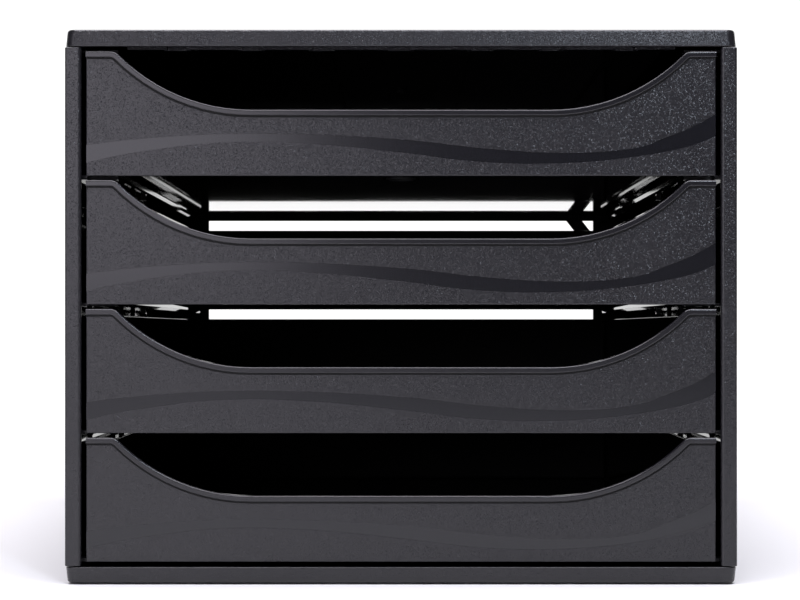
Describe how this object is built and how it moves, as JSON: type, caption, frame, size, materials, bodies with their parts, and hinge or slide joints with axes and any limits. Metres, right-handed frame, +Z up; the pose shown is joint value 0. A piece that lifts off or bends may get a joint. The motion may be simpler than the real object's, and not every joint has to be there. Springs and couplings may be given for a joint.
{
  "type": "letter tray stack with drawers",
  "caption": "Desk cabinet of stacked letter drawers with scooped fronts, sliding on ledges in a snap-together housing.",
  "frame": {"origin": "middle of the footprint, on the surface that the feet stand on", "axes": "+Z up, -Y out of the front, +X to the right as seen from the front"},
  "size_m": [0.284, 0.387, 0.2346],
  "materials": {
    "housing_plastic": "fine grain",
    "drawer_plastic": "fine grain outside, polished inside and on the band of the front",
    "foot_rubber": "matt"
  },
  "bodies": {
    "housing": {"top_panel": "housing_plastic", "base_panel": "housing_plastic", "left_side_panel": "housing_plastic", "right_side_panel": "housing_plastic", "back_panel": "housing_plastic", "foot_front_left": "foot_rubber", "foot_front_right": "foot_rubber", "foot_rear_left": "foot_rubber", "foot_rear_right": "foot_rubber"},
    "drawer_1": {"drawer_1": "drawer_plastic"},
    "drawer_2": {"drawer_2": "drawer_plastic"},
    "drawer_3": {"drawer_3": "drawer_plastic"},
    "drawer_4": {"drawer_4": "drawer_plastic"}
  },
  "joints": [
    {"name": "drawer_1_slide", "type": "slide", "parent": "housing", "child": "drawer_1", "axis": [0, -1, 0], "range_m": [0, 0.26]},
    {"name": "drawer_2_slide", "type": "slide", "parent": "housing", "child": "drawer_2", "axis": [0, -1, 0], "range_m": [0, 0.26]},
    {"name": "drawer_3_slide", "type": "slide", "parent": "housing", "child": "drawer_3", "axis": [0, -1, 0], "range_m": [0, 0.26]},
    {"name": "drawer_4_slide", "type": "slide", "parent": "housing", "child": "drawer_4", "axis": [0, -1, 0], "range_m": [0, 0.26]}
  ]
}
